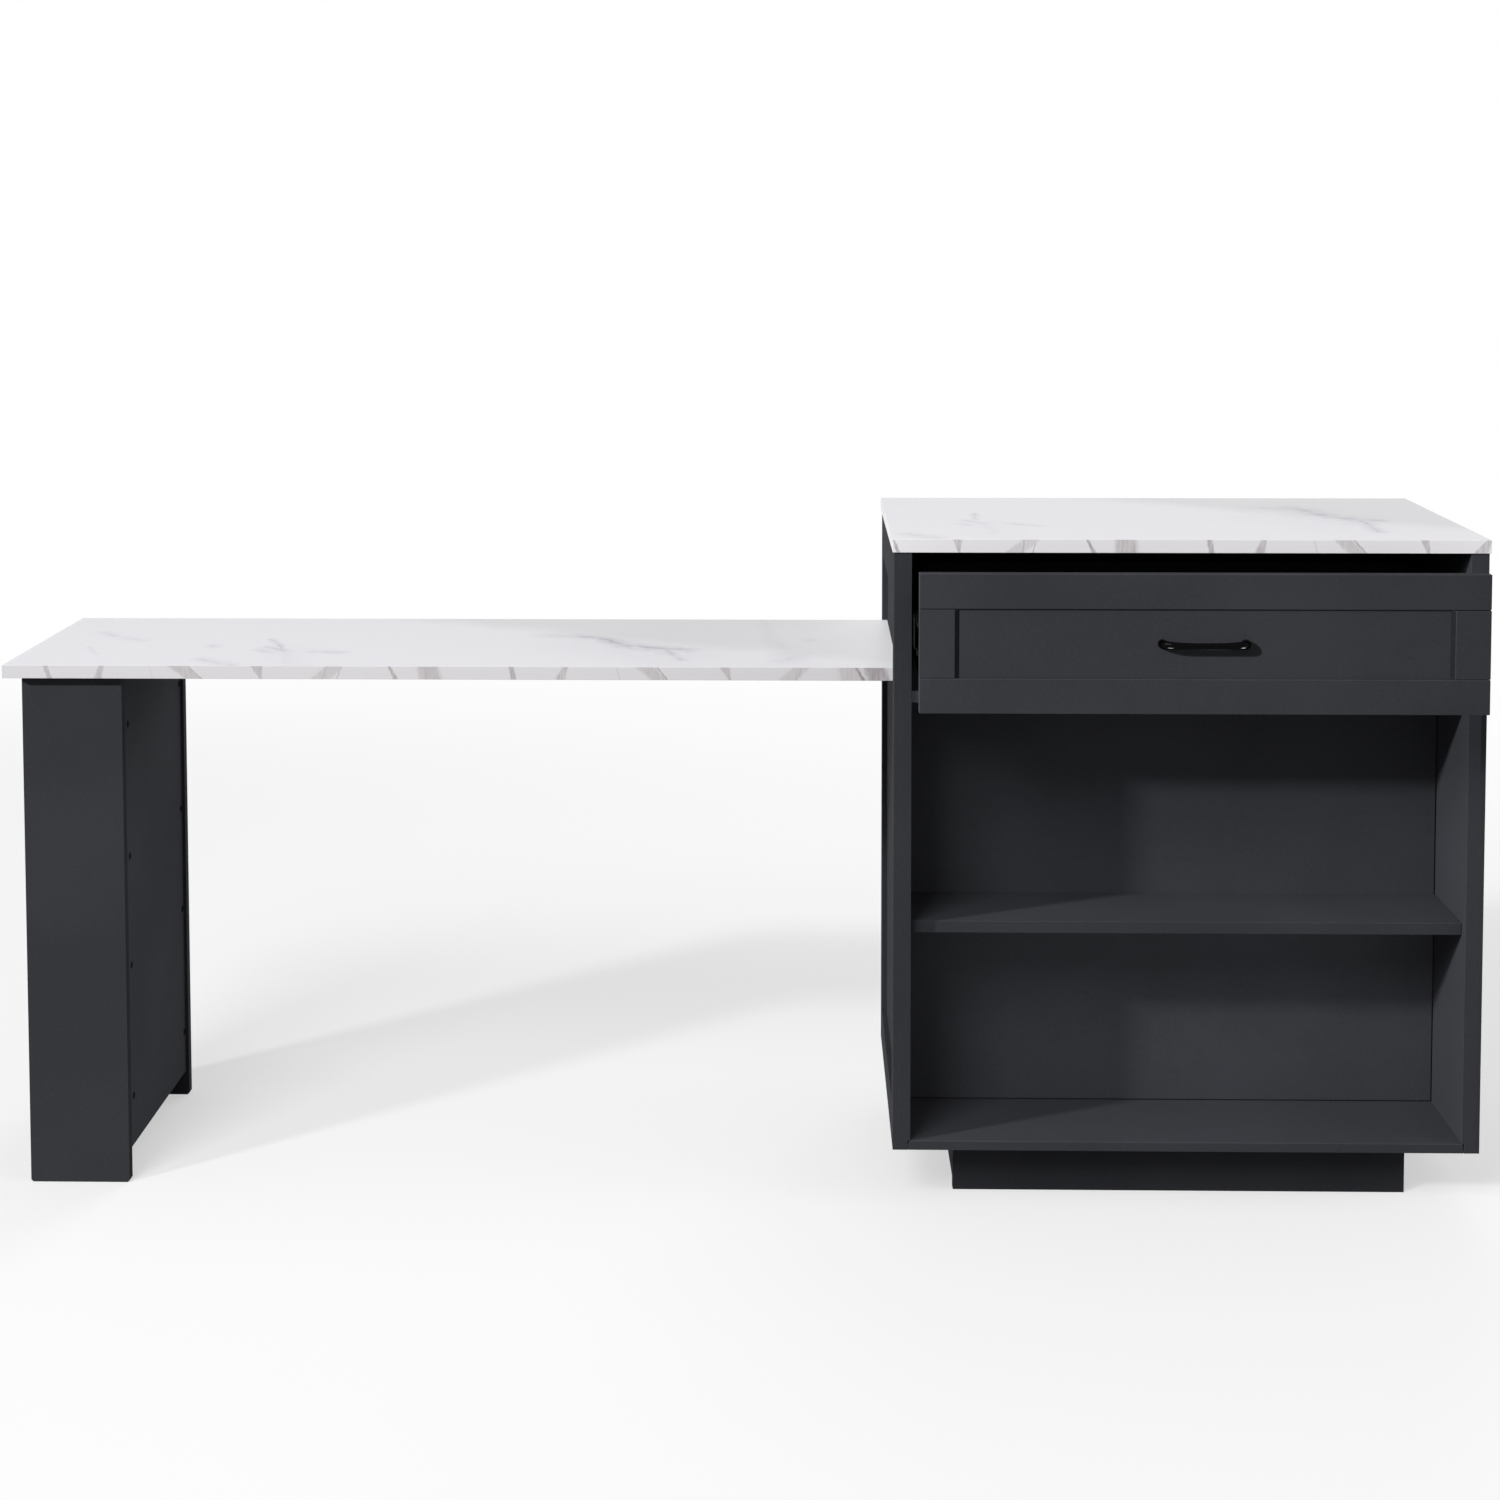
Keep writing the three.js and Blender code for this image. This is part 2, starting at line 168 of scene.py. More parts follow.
# A node tree that is filled by one method
class Tree:
    def __init__(self, owner):
        owner.use_nodes = True
        self.owner = owner
        self.nodes = owner.node_tree.nodes
        self.links = owner.node_tree.links
        self.nodes.clear()

    def node(self, kind, settings=None, values=None, output=0):
        made = self.nodes.new(kind)
        for key, setting in (settings or {}).items():
            setattr(made, key, setting)
        for key, value in (values or {}).items():
            if isinstance(value, Wire):
                self.links.new(value.socket, made.inputs[key])
            else:
                made.inputs[key].default_value = value
        return Wire(self, made.outputs[output]) if len(made.outputs) else None

    def place(self):
        return self.node("ShaderNodeTexCoord", output="Object")

    def noise(self, vector, scale, detail=2.0, output=0):
        values = {"Vector": vector, "Scale": scale, "Detail": detail}
        return self.node("ShaderNodeTexNoise", None, values, output)

    def vector(self, operation, first, second, output=0):
        return self.node("ShaderNodeVectorMath", {"operation": operation}, {0: first, 1: second}, output)

    def mix(self, factor, first, second):
        return self.node("ShaderNodeMix", {"data_type": "RGBA"}, {0: factor, 6: first, 7: second}, 2)

    def parts(self, vector):
        split = self.node("ShaderNodeSeparateXYZ", None, {0: vector}).socket.node
        return [Wire(self, socket) for socket in split.outputs]

    # A point pushed about by noise, by at most half of reach each way
    def warped(self, vector, scale, reach):
        push = self.vector("SUBTRACT", self.noise(vector, scale, 3.0, 1), (0.5, 0.5, 0.5))
        scaled = self.vector("MULTIPLY", push, (reach, reach, reach))
        return self.vector("ADD", vector, scaled)

    # The bump's depth in metres
    def surface(self, values, height, depth):
        bump = self.node("ShaderNodeBump", None, {"Height": height, "Distance": depth, "Strength": 1.0})
        shader = self.node("ShaderNodeBsdfPrincipled", None, {**values, "Normal": bump})
        self.node("ShaderNodeOutputMaterial", None, {"Surface": shader})
        return self.owner


def newFinish(name):
    return Tree(bpy.data.materials.new(name))


# Satin charcoal lacquer on board: on most faces; lighter and a little shinier on the softened edges, which is
# partly wear and partly painted highlight; lighter on the faces in the open bays, which is painted light; and
# darker on two of the drawer's bevels, which is painted shade. The shade drifts from dark to light, and the
# roughness too
charcoalLook = {
    "cloudScale": 4.5,
    "speckScale": 260,
    "speckShare": 0.35,
    "toneRange": (0.3, 0.7),
    "sheenScale": 86.667,
    "peelScale": 420,
    "peelDepth": 0.00004,
    "specular": 0.01,
    "coats": {
        "charcoalLacquer": {"dark": (52, 53, 57), "light": (58, 59, 63), "roughness": (0.6, 0.72)},
        # lighter on the softened edges: partly wear, partly painted highlight
        "charcoalRubbedEdge": {"dark": (58, 59, 63), "light": (70, 71, 76), "roughness": (0.45, 0.55)},
        # lighter for the faces in and just above the open bays: painted light
        "charcoalInnerLacquer": {"dark": (60, 61, 65), "light": (66, 67, 72), "roughness": (0.6, 0.72)},
        # darker for two of the drawer's bevels: painted shade
        "charcoalGroove": {"dark": (34, 35, 38), "light": (38, 39, 42), "roughness": (0.6, 0.72)},
    },
}


def charcoalFinish(name, coat):
    look = charcoalLook
    tree = newFinish(name)
    place = tree.place()
    cloud = tree.noise(place, look["cloudScale"], 3.0)
    speck = tree.noise(place, look["speckScale"])
    tone = cloud * (1 - look["speckShare"]) + speck * look["speckShare"]
    base = tree.mix(tone.rising(*look["toneRange"]), colour(*coat["dark"]), colour(*coat["light"]))
    low, high = coat["roughness"]
    rough = tree.noise(place, look["sheenScale"]) * (high - low) + low
    peel = tree.noise(place, look["peelScale"], 1.0)
    values = {"Base Color": base, "Roughness": rough, "Specular IOR Level": look["specular"]}
    return tree.surface(values, peel, look["peelDepth"])


charcoalCoats = [charcoalFinish(name, coat) for name, coat in charcoalLook["coats"].items()]

# Marble-look laminate. A vein runs from one point to the next, in mm from the board's left end and rear edge,
# and has a half width in mm and a strength. A band on an edge stands at one place on its upper line and at
# another on its lower line, with a half width at each, and a strength. A patch has a point on its border, in
# mm, and the way that its grey side faces
marbleLook = {
    "arris": 0.5,
    "white": (226, 225, 229),
    "grey": (213, 213, 215),
    "vein": (171, 168, 178),
    "coreFade": (1.8, 0.3),
    "haloShare": 0.6,
    "haloReach": 7,
    # the ends' white is lighter than the top's: painted light
    "endPaintedLightWhite": (250, 249, 250),
    "edgeVein": (160, 151, 155),
    "roughness": (0.34, 0.42),
    "roughScale": 60.0,
    "edgeRoughness": 0.4,
    "specular": 0.06,
    "waveScale": 45.0,
    "waveDepth": 0.00001,
    "warpScale": 22,
    "warpReach": 0.016,
    "breakScale": 55,
    "breakRange": (0.3, 0.62),
    "breakDepth": 0.6,
    "breakLeast": 0.5,
    "fineScale": 110,
    "fineReach": 0.004,
    "edgeWarpScale": 160,
    "edgeWarpReach": 0.004,
    "streakScale": 420.0,
    "streakSquash": (1, 1, 0.12),
    "streakRange": (0.25, 0.75),
    "streakDepth": 0.6,
    "streakLeast": 0.7,
    "bandFade": (1.25, 0.6),
    "patchSoftness": (-0.02, 0.07),
    "rippleScale": 9.0,
    "rippleReach": 0.06,
}

counterMarble = {
    "veins": [
        (560, 120, 600, 118, 5, 0.35),
        (600, 118, 618, 140, 7, 0.6),
        (618, 140, 622, 178, 5, 0.75),
        (622, 178, 640, 212, 6, 0.8),
        (640, 212, 664, 243, 7, 0.85),
        (664, 243, 702, 258, 5, 0.75),
        (668, 246, 672, 300, 4, 0.7),
        (672, 300, 668, 370, 3.5, 0.55),
        (590, 200, 650, 290, 26, 0.16),
        (130, 180, 129, 245, 1.5, 0.5),
        (112, 262, 136, 288, 3, 0.4),
        (104, 296, 112, 306, 3, 0.3),
        (136, 300, 140, 400, 9, 0.12),
        (174, 292, 206, 312, 3, 0.4),
        (22, 400, 60, 432, 4, 0.35),
    ],
    "patch": (525, 175, 0.588, -0.809),
    # lighter than the top's white: painted light on the counter's long edges
    "edgeWhitePaintedLightShade": (236, 234, 236),
    "bands": [
        (0, 8, 1.5, 3, 0.6),
        (87, 89, 7, 1, 0.5),
        (186, 163, 12, 14, 0.28),
        (176, 174, 1.2, 1.4, 0.5),
        (192, 188, 1, 1, 0.4),
        (261, 270, 2, 3.5, 0.65),
        (312, 314, 15, 16, 0.5),
        (424, 427, 4, 4, 0.6),
        (497, 491, 4, 7, 0.45),
        (564, 568, 1.5, 1.5, 0.15),
        (602, 622, 13, 12, 0.38),
        (617, 633, 1.5, 1.5, 0.6),
        (711, 716, 6, 2, 0.5),
        (797, 785, 4, 10, 0.45),
    ],
    "endBands": [
        (70, 82, 9, 8, 0.22),
        (205, 196, 2.5, 3, 0.35),
        (322, 338, 11, 9, 0.2),
        (408, 404, 2, 3, 0.3),
    ],
}

leafMarble = {
    "veins": [
        (66, 120, 92, 148, 3, 0.35),
        (111, 163, 145, 185, 2.5, 0.3),
        (80, 234, 108, 295, 1.2, 0.2),
        (252, 221, 256, 232, 3, 0.25),
        (329, 175, 354, 228, 1.6, 0.55),
        (354, 228, 363, 264, 1.6, 0.5),
        (335, 237, 366, 261, 3, 0.45),
        (329, 258, 351, 277, 3, 0.3),
        (369, 264, 394, 369, 9, 0.12),
        (409, 264, 446, 274, 3, 0.4),
        (264, 326, 314, 363, 4, 0.35),
        (726, 138, 763, 144, 5, 0.3),
        (769, 138, 806, 154, 4, 0.65),
        (806, 154, 824, 184, 4, 0.8),
        (824, 184, 846, 212, 5, 0.8),
        (846, 212, 895, 234, 6, 0.8),
        (895, 234, 934, 246, 5, 0.75),
        (901, 240, 916, 277, 3, 0.6),
        (916, 277, 934, 320, 2.5, 0.55),
        (818, 197, 910, 270, 20, 0.18),
        (1042, 0, 1052, 154, 3, 0.12),
        (1052, 154, 1088, 277, 4, 0.15),
        (1088, 277, 1082, 320, 6, 0.35),
        (1112, 163, 1113, 178, 2.5, 0.3),
    ],
    "patch": (707, 123, 0.431, -0.9025),
    "bands": [
        (60, 66, 3, 4, 0.5),
        (138, 132, 4, 6, 0.45),
        (204, 208, 1.2, 1.2, 0.15),
        (242, 265, 14, 12, 0.42),
        (256, 276, 1.5, 1.5, 0.65),
        (352, 357, 9, 1.5, 0.5),
        (459, 440, 13, 15, 0.3),
        (449, 441, 1, 1.2, 0.5),
        (468, 462, 1, 1, 0.4),
        (534, 543, 2, 3.5, 0.65),
        (587, 590, 15, 16, 0.5),
        (701, 705, 4, 4, 0.6),
        (776, 768, 4, 7, 0.45),
        (846, 850, 1.5, 1.5, 0.15),
        (885, 905, 14, 12, 0.38),
        (901, 916, 1.5, 1.5, 0.6),
        (994, 1001, 7, 2, 0.5),
        (1098, 1080, 12, 14, 0.3),
        (1100, 1090, 1.2, 1.2, 0.45),
        (1173, 1184, 2, 3, 0.9),
        (1164, 1168, 16, 16, 0.35),
        # this last band, by the leaf's end beside the cabinet, is partly a vein and partly painted shade from
        # the cabinet
        (1198, 1204, 16, 16, 0.75),
    ],
    # darker than the top's white: painted shade on the leaf's long edges
    "edgeWhitePaintedLightShade": (219, 217, 219),
    "endBands": [
        (48, 60, 8, 7, 0.25),
        (150, 143, 2.5, 3, 0.4),
        (236, 252, 11, 9, 0.25),
        (330, 326, 2, 3, 0.35),
    ],
}


def veinMask(tree, place, corner, veins):
    look = marbleLook
    wobbly = tree.warped(tree.warped(place, look["warpScale"], look["warpReach"]), look["fineScale"],
                         look["fineReach"])
    flat = tree.vector("MULTIPLY", wobbly, (1, 1, 0))
    wide, narrow = look["coreFade"]
    mask = None
    for x0, y0, x1, y1, half, strength in veins:
        start = Vector((corner[0] + x0 * mm, corner[1] - y0 * mm, 0))
        run = Vector(((x1 - x0) * mm, (y0 - y1) * mm, 0))
        fromStart = tree.vector("SUBTRACT", flat, start)
        along = tree.vector("DOT_PRODUCT", fromStart, run / run.length_squared, "Value").clamped()
        values = {0: along, 1: -run, 2: fromStart}
        off = tree.node("ShaderNodeVectorMath", {"operation": "MULTIPLY_ADD"}, values)
        away = tree.vector("LENGTH", off, (0, 0, 0), "Value")
        core = away.rising(half * mm * wide, half * mm * narrow) * strength
        halo = away.rising(half * mm * look["haloReach"], 0) * (strength * look["haloShare"])
        mask = core.most(halo) if mask is None else mask.most(core).most(halo)
    gaps = tree.noise(place, look["breakScale"], 3.0).rising(*look["breakRange"])
    return (mask * (gaps * look["breakDepth"] + look["breakLeast"])).clamped()


def marbleTop(name, box, look):
    tree = newFinish(name)
    place = tree.place()
    corner = (box[0].x, box[1].y)
    x, y = tree.parts(place)[:2]
    patchX, patchY, faceX, faceY = look["patch"]
    # y counts forwards from the rear edge
    border = (corner[0] + patchX * mm) * faceX - (corner[1] - patchY * mm) * faceY
    depth = x * faceX - y * faceY - border
    ripple = (tree.noise(place, marbleLook["rippleScale"], 3.0) - 0.5) * marbleLook["rippleReach"]
    patch = (depth + ripple).rising(*marbleLook["patchSoftness"])
    base = tree.mix(patch, colour(*marbleLook["white"]), colour(*marbleLook["grey"]))
    base = tree.mix(veinMask(tree, place, corner, look["veins"]), base, colour(*marbleLook["vein"]))
    low, high = marbleLook["roughness"]
    rough = tree.noise(place, marbleLook["roughScale"]) * (high - low) + low
    values = {"Base Color": base, "Roughness": rough, "Specular IOR Level": marbleLook["specular"]}
    return tree.surface(values, tree.noise(place, marbleLook["waveScale"]), marbleLook["waveDepth"])


def bandMask(along, down, bands):
    mask = None
    for top, bottom, halfTop, halfBottom, strength in bands:
        centre = down * ((bottom - top) * mm) + top * mm
        half = down * ((halfBottom - halfTop) * mm) + halfTop * mm
        cover = (abs(along - centre) / half).rising(*marbleLook["bandFade"]) * strength
        mask = cover if mask is None else mask.most(cover)
    return mask


# axis 0 for the faces that run along X, 1 for the ends, which run along Y
def marbleEdge(name, box, white, bands, axis):
    look = marbleLook
    tree = newFinish(name)
    place = tree.place()
    wobbly = tree.warped(place, look["edgeWarpScale"], look["edgeWarpReach"])
    x, y, z = tree.parts(wobbly)
    start = box[0].x if axis == 0 else box[0].y
    along = (x if axis == 0 else y) - start
    down = (box[1].z - z) / (box[1].z - box[0].z)
    squashed = tree.vector("MULTIPLY", place, look["streakSquash"])
    streak = tree.noise(squashed, look["streakScale"], 3.0).rising(*look["streakRange"])
    streak = streak * look["streakDepth"] + look["streakLeast"]
    mask = (bandMask(along, down, bands) * streak).clamped()
    base = tree.mix(mask, colour(*white), colour(*look["edgeVein"]))
    values = {"Base Color": base, "Roughness": look["edgeRoughness"], "Specular IOR Level": look["specular"]}
    return tree.surface(values, tree.noise(place, look["waveScale"]), look["waveDepth"])


# Finishes of one shade, with what else their shader has. The bump's scale, and its depth in metres
plainLook = {
    "darkShare": 0.9,
    "toneScaleShare": 0.25,
    "coats": {
        "marbleUnderside": {"shade": (214, 213, 214), "roughness": (0.4, 0.5), "bump": (300.0, 0.00003)},
        "blackGloss": {"shade": (5, 5, 6), "roughness": (0.06, 0.1), "bump": (240.0, 0.00001),
                       "rest": {"Specular IOR Level": 0.04}},
        "blackSatin": {"shade": (24, 24, 25), "roughness": (0.3, 0.4), "bump": (500.0, 0.00003),
                       "rest": {"Metallic": 0.3}},
        # a black coating, made darker still as painted shade for the gap beside the drawer
        "runnerBlack": {"shade": (7, 7, 8), "roughness": (0.4, 0.5), "bump": (700.0, 0.00003),
                        "rest": {"Specular IOR Level": 0.12}},
        "boltSteel": {"shade": (150, 150, 152), "roughness": (0.28, 0.4), "bump": (900.0, 0.00002),
                      "rest": {"Metallic": 1.0}},
        # darkPlastic also colours the crosses on the heads, as painted shade for their slots
        "darkPlastic": {"shade": (4, 4, 5), "roughness": (0.6, 0.7), "bump": (600.0, 0.00003),
                        "rest": {"Specular IOR Level": 0.01}},
    },
}


def plainFinish(name, coat):
    tree = newFinish(name)
    place = tree.place()
    scale, depth = coat["bump"]
    low, high = coat["roughness"]
    tone = tree.noise(place, scale * plainLook["toneScaleShare"])
    darker = tuple(level * plainLook["darkShare"] for level in coat["shade"])
    base = tree.mix(tone, colour(*darker), colour(*coat["shade"]))
    values = {"Base Color": base, "Roughness": tone * (high - low) + low, **coat.get("rest", {})}
    return tree.surface(values, tree.noise(place, scale), depth)


plain = {name: plainFinish(name, coat) for name, coat in plainLook["coats"].items()}
print("finishes made")


# Vertices nearer than the merge distance are one, and a joint's tip is as thick as given, in mm. Faces that
# turn less than the flat angle are one face, and edges that turn more than the sharp angle are softened
solidLook = {"merge": 0.01, "tip": 0.05, "flatAngle": 1, "sharpAngle": 20, "arrisSegments": 2}


# A copy of a node's solid with its doubles merged and its flat faces whole
def solidOf(node):
    solid = bmesh.new()
    solid.from_mesh(frame["nodes"][node].data)
    bmesh.ops.remove_doubles(solid, verts=solid.verts, dist=solidLook["merge"] * mm)
    bmesh.ops.dissolve_limit(solid, angle_limit=math.radians(solidLook["flatAngle"]), verts=solid.verts,
                             edges=solid.edges)
    return solid


# Open joints between boards, in mm: a board's finished copy stops short at an end, so a dark line shows. The
# axis is 0, 1 or 2, and the end -1 for the low one and 1 for the high one. A joint that is open above and
# closed below says "above"
seamLook = {
    "bay_back_panel": [(2, -1, 1.3), (0, 1, 1.2)],
    "bottom_board": [(0, -1, 2.0, "above"), (0, 1, 2.0, "above")],
    "bay_shelf": [(0, -1, 1.0), (0, 1, 0.6), (1, 1, 0.9)],
    "drawer_left_stile": [(2, 1, 1.1), (2, -1, 0.7)],
    "drawer_right_stile": [(2, 1, 1.1), (2, -1, 0.7)],
}


def stoppedShort(solid, node):
    thickness = solidLook["tip"] * mm
    for axis, end, gap, *where in seamLook.get(node, []):
        reach = max(end * vert.co[axis] for vert in solid.verts)
        tip = [vert for vert in solid.verts if end * vert.co[axis] > reach - thickness]
        if where:
            top = max(vert.co.z for vert in tip)
            tip = [vert for vert in tip if vert.co.z > top - thickness]
        shift = Vector((0, 0, 0))
        shift[axis] = -end * gap * mm
        bmesh.ops.translate(solid, vec=shift, verts=tip)
    return solid


# The arris in mm
def softened(solid, arris, edgeFinish=None):
    least = math.radians(solidLook["sharpAngle"])
    sharp = [edge for edge in solid.edges if edge.is_manifold and edge.calc_face_angle() > least]
    made = bmesh.ops.bevel(solid, geom=sharp, offset=arris * mm, offset_type="OFFSET",
                           segments=solidLook["arrisSegments"], profile=0.5, affect="EDGES",
                           clamp_overlap=True, material=-1)
    if edgeFinish is not None:
        for face in made["faces"]:
            face.material_index = edgeFinish
    return solid


def makePiece(name, solid, finishes, body, standsFor=(), smooth=False):
    bmesh.ops.recalc_face_normals(solid, faces=solid.faces)
    for face in solid.faces:
        face.smooth = smooth
    mesh = bpy.data.meshes.new(name)
    solid.to_mesh(mesh)
    solid.free()
    for finish in finishes:
        mesh.materials.append(finish)
    piece = bpy.data.objects.new(name, mesh)
    bpy.context.scene.collection.objects.link(piece)
    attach(piece, body)
    if standsFor:
        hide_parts(*standsFor)
    return piece


# Arris of each charcoal board, in mm
boardLook = {
    "arris": 0.5,
    "arrisOf": {
        "bay_back_panel": 1.2,
        "bottom_board": 0.7,
        "drawer_front_board": 0.9,
        "drawer_top_rail": 0.9,
        "drawer_bottom_rail": 0.9,
        "left_door": 1.0,
        "right_door": 1.0,
    },
}

# Where three of the coats stand in charcoalCoats
edgeWearAndHighlight, bayPaintedLightCoat, bevelPaintedShadeCoat = 1, 2, 3

# The faces that show in and just above the two open bays, by node: the way that they look. They take a
# lighter coat, which is painted light
innerFaces = {
    "bay_back_panel": (0, -1, 0),
    "bay_shelf": (0, 0, 1),
    "bottom_board": (0, 0, 1),
    "right_side_panel": (-1, 0, 0),
    "divider_board": (0, -1, 0),
}

# The bevels on the drawer's front that take a darker coat, which is painted shade, given in the same way
paintedShadeBevels = {"drawer_left_stile": (1, 0, 0), "drawer_right_stile": (-1, 0, 0)}

# How squarely a face has to look that way, where 1 is wholly: a bevel does so only in part
turnedTo = {"inner": 0.9, "shadedBevel": 0.3}


def nodesWith(slotName):
    return [row["node"] for row in frame["record"]["subparts"] if row["material_slot"] == slotName]


def dressBoard(node):
    solid = stoppedShort(solidOf(node), node)
    inner, shadedBevel = Vector(innerFaces.get(node, (0, 0, 0))), Vector(paintedShadeBevels.get(node, (0, 0, 0)))
    for face in solid.faces:
        if face.normal.dot(inner) > turnedTo["inner"]:
            face.material_index = bayPaintedLightCoat
        if face.normal.dot(shadedBevel) > turnedTo["shadedBevel"]:
            face.material_index = bevelPaintedShadeCoat
    softened(solid, boardLook["arrisOf"].get(node, boardLook["arris"]), edgeWearAndHighlight)
    makePiece(node + "_finished", solid, charcoalCoats, bodyOfNode[node], [node])


charcoalNodes = nodesWith("charcoal_board")
for node in charcoalNodes:
    dressBoard(node)
print("charcoal boards dressed:", len(charcoalNodes))


# A laminated top: one finish on the top, one on the long edges, one on the ends and one underneath. The
# whites of the ends and of the counter's long edges are lighter than the top's, as painted light, and those
# of the leaf's long edges darker, as painted shade
def dressMarble(node, look):
    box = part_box(node)
    finishes = [
        marbleTop(node + "Top", box, look),
        marbleEdge(node + "LongEdges", box, look["edgeWhitePaintedLightShade"], look["bands"], 0),
        marbleEdge(node + "Ends", box, marbleLook["endPaintedLightWhite"], look["endBands"], 1),
        plain["marbleUnderside"],
    ]
    solid = solidOf(node)
    for face in solid.faces:
        normal = face.normal
        if abs(normal.z) > 0.5:
            face.material_index = 0 if normal.z > 0 else 3
        else:
            face.material_index = 1 if abs(normal.y) > 0.5 else 2
    softened(solid, marbleLook["arris"])
    makePiece(node + "_finished", solid, finishes, bodyOfNode[node], [node])


dressMarble("countertop", counterMarble)
dressMarble("leaf_top", leafMarble)
print("tops dressed")


# A bow pull. Each ring stands at a distance along from the middle and out from the face, and leans from
# 0 (flat to the face) to 90 degrees (across the bar). Half sizes across and through it, in mm
pullLook = {
    "sides": 16,
    "levels": 2,
    "rings": [
        (54.0, 0.0, 0, 6.3, 6.3),
        (54.0, 4.0, 0, 6.3, 6.3),
        (53.8, 6.4, 8, 6.2, 6.0),
        (52.2, 9.8, 28, 6.0, 5.4),
        (48.6, 12.6, 52, 5.7, 4.7),
        (43.0, 14.6, 70, 5.3, 4.1),
        (35.5, 15.8, 80, 4.8, 3.6),
        (24.0, 16.6, 86, 4.3, 3.2),
        (12.0, 16.95, 89, 4.05, 3.03),
        (0.0, 17.0, 90, 4.0, 3.0),
    ],
}


# Made lying along X and standing out towards -Y, then turned and moved by the matrix
def pullSolid(matrix):
    rings = pullLook["rings"]
    chain = [(-along, -1, out, *rest) for along, out, *rest in rings]
    chain += [(along, 1, out, *rest) for along, out, *rest in rings[-2::-1]]
    solid = bmesh.new()
    crease = solid.edges.layers.float.new("crease_edge")
    loops = []
    for along, side, out, lean, halfHigh, halfDeep in chain:
        across = math.radians(lean)
        heading = Vector((math.sin(across), side * math.cos(across), 0))
        upward = Vector((0, 0, 1))
        turn = Matrix((upward, heading.cross(upward), heading)).transposed().to_4x4()
        spot = Matrix.Translation(Vector((along, -out, 0)) * mm)
        size = Matrix.Diagonal((halfHigh * mm, halfDeep * mm, 1, 1))
        ring = bmesh.ops.create_circle(solid, cap_ends=False, segments=pullLook["sides"], radius=1,
                                       matrix=spot @ turn @ size)
        loops.append(list({edge for vert in ring["verts"] for edge in vert.link_edges}))
    for first, second in zip(loops, loops[1:]):
        bmesh.ops.bridge_loops(solid, edges=first + second)
    for foot in (loops[0], loops[-1]):
        bmesh.ops.contextual_create(solid, geom=foot)
        for edge in foot:
            edge[crease] = 1.0
    bmesh.ops.transform(solid, matrix=matrix, verts=solid.verts)
    return solid


def addPull(node, matrix):
    piece = makePiece(node + "_finished", pullSolid(matrix), [plain["blackGloss"]], bodyOfNode[node],
                      [node], True)
    rounding = piece.modifiers.new("rounding", "SUBSURF")
    rounding.levels = rounding.render_levels = pullLook["levels"]


def middleOf(node):
    low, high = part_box(node)
    return (low + high) / 2


drawerPull = middleOf("drawer_pull")
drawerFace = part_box("drawer_pull")[1].y
addPull("drawer_pull", Matrix.Translation(Vector((drawerPull.x, drawerFace, drawerPull.z))))
for hand in ("left", "right"):
    node = hand + "_door_pull"
    spot = Vector((middleOf(node).x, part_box(node)[0].y, middleOf(node).z))
    turn = Matrix.Rotation(math.pi, 4, "Z") @ Matrix.Rotation(math.pi / 2, 4, "Y")
    addPull(node, Matrix.Translation(spot) @ turn)
print("pulls made")


# Runners and hinges keep their folded shapes, with soft edges: the arris in mm
metalLook = {"runner": 0.35, "hinge": 0.3}


def dressMetal(node, finish, arris):
    solid = softened(solidOf(node), arris)
    makePiece(node + "_finished", solid, [finish], bodyOfNode[node], [node])


hingeNodes = [node for node in bodyOfNode if "hinge" in node]
for node in nodesWith("runner_steel"):
    dressMetal(node, plain["runnerBlack"], metalLook["runner"])
for node in hingeNodes:
    dressMetal(node, plain["blackSatin"], metalLook["hinge"])
print("runners and hinges dressed")


# Round heads and caps: a disc that stands out along its axis, in mm, with a dark cross of two bars where it
# has a slot, which is painted shade for the slot. The bars' length and height are shares of the radius and of
# the head's height. Each head on a piece is turned further than the one before, in degrees
headLook = {
    "sides": 24,
    "taper": 0.86,
    "barLength": 1.3,
    "barHeight": 0.1,
    "firstTurn": 20,
    "nextTurn": 37,
    "kinds": {
        "hingeHead": {"radius": 3.0, "height": 0.9, "slotShadeWidth": 0.7},
        "camCap": {"radius": 5.0, "height": 0.5, "slotShadeWidth": 1.2},
        "pullScrew": {"radius": 4.0, "height": 2.0, "slotShadeWidth": 0.9},
        "shelfPin": {"radius": 2.5, "height": 9.0, "slotShadeWidth": 0},
    },
}


# A head on a face: spot is a point on the face, outward the way that the head stands out
def addHead(solid, spot, outward, kind, turn):
    look = headLook["kinds"][kind]
    radius, height = look["radius"] * mm, look["height"] * mm
    stand = Matrix.Translation(spot) @ outward.to_track_quat("Z", "Y").to_matrix().to_4x4()
    stand = stand @ Matrix.Rotation(math.radians(turn), 4, "Z")
    bmesh.ops.create_cone(solid, cap_ends=True, cap_tris=False, segments=headLook["sides"], radius1=radius,
                          radius2=radius * headLook["taper"], depth=height,
                          matrix=stand @ Matrix.Translation(Vector((0, 0, height / 2))))
    if not look["slotShadeWidth"]:
        return
    end = stand @ Matrix.Translation(Vector((0, 0, height)))
    size = (radius * headLook["barLength"], look["slotShadeWidth"] * mm, height * headLook["barHeight"], 1)
    # the dark cross: painted shade for the slot
    for quarter in (0, 90):
        bar = Matrix.Rotation(math.radians(quarter), 4, "Z") @ Matrix.Diagonal(size)
        made = bmesh.ops.create_cube(solid, size=1, matrix=end @ bar)
        for face in {face for vert in made["verts"] for face in vert.link_faces}:
            face.material_index = 1


def addHeads(name, kind, spots, outward, finishes, body):
    solid = bmesh.new()
    for index, spot in enumerate(spots):
        turn = headLook["firstTurn"] + headLook["nextTurn"] * index
        addHead(solid, Vector(spot), Vector(outward), kind, turn)
    makePiece(name, solid, finishes, body)


